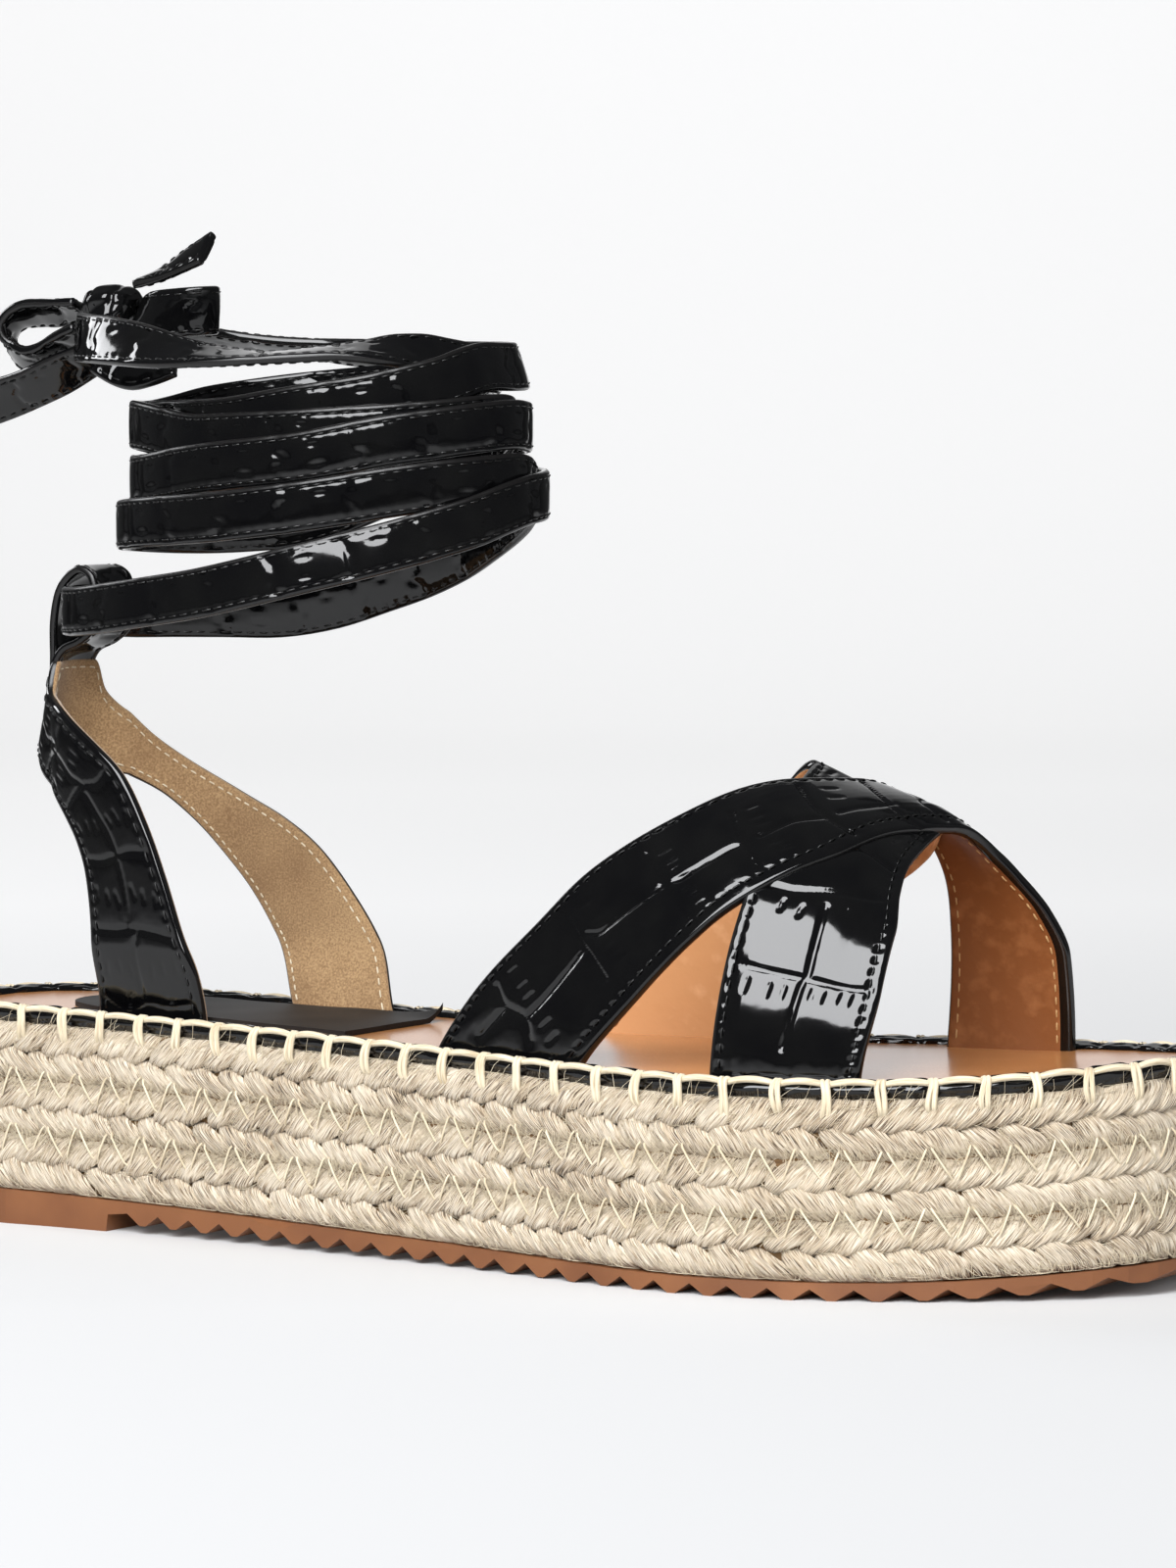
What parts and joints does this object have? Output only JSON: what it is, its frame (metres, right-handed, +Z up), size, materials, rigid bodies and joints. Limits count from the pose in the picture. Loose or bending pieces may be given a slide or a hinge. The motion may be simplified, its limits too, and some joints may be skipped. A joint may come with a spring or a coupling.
{
  "type": "platform sandal",
  "caption": "Right-foot platform sandal with a braided jute sole, crossed patent vamp straps, a heel quarter with a loop, and a wrapped ankle tie with a bow.",
  "frame": {"origin": "centre of the heel's flat underside, on the floor", "axes": "+X from the heel to the toe, +Z up, +Y towards the inner side of the foot"},
  "size_m": [0.2665, 0.0888, 0.1858],
  "materials": {
    "patent_black": "high-gloss black patent with an embossed crocodile pattern",
    "insole_tan": "smooth tan lining leather with a slight sheen",
    "jute": "natural plaited jute cord, matt and hairy",
    "rubber_brown": "matt caramel-brown moulded rubber"
  },
  "bodies": {
    "root": {"outsole": "rubber_brown", "platform_braid_1": "jute", "platform_braid_2": "jute", "platform_braid_3": "jute", "binding": "patent_black", "insole": "insole_tan", "heel_pad": "patent_black", "vamp_cross_straps": "patent_black", "heel_quarter": "patent_black", "heel_loop": "patent_black", "ankle_tie": "patent_black", "tie_knot": "patent_black", "bow_loop_rear": "patent_black", "bow_loop_front": "patent_black", "bow_tail_upper": "patent_black", "bow_tail_lower": "patent_black", "bow_under_fold": "patent_black"}
  },
  "joints": []
}
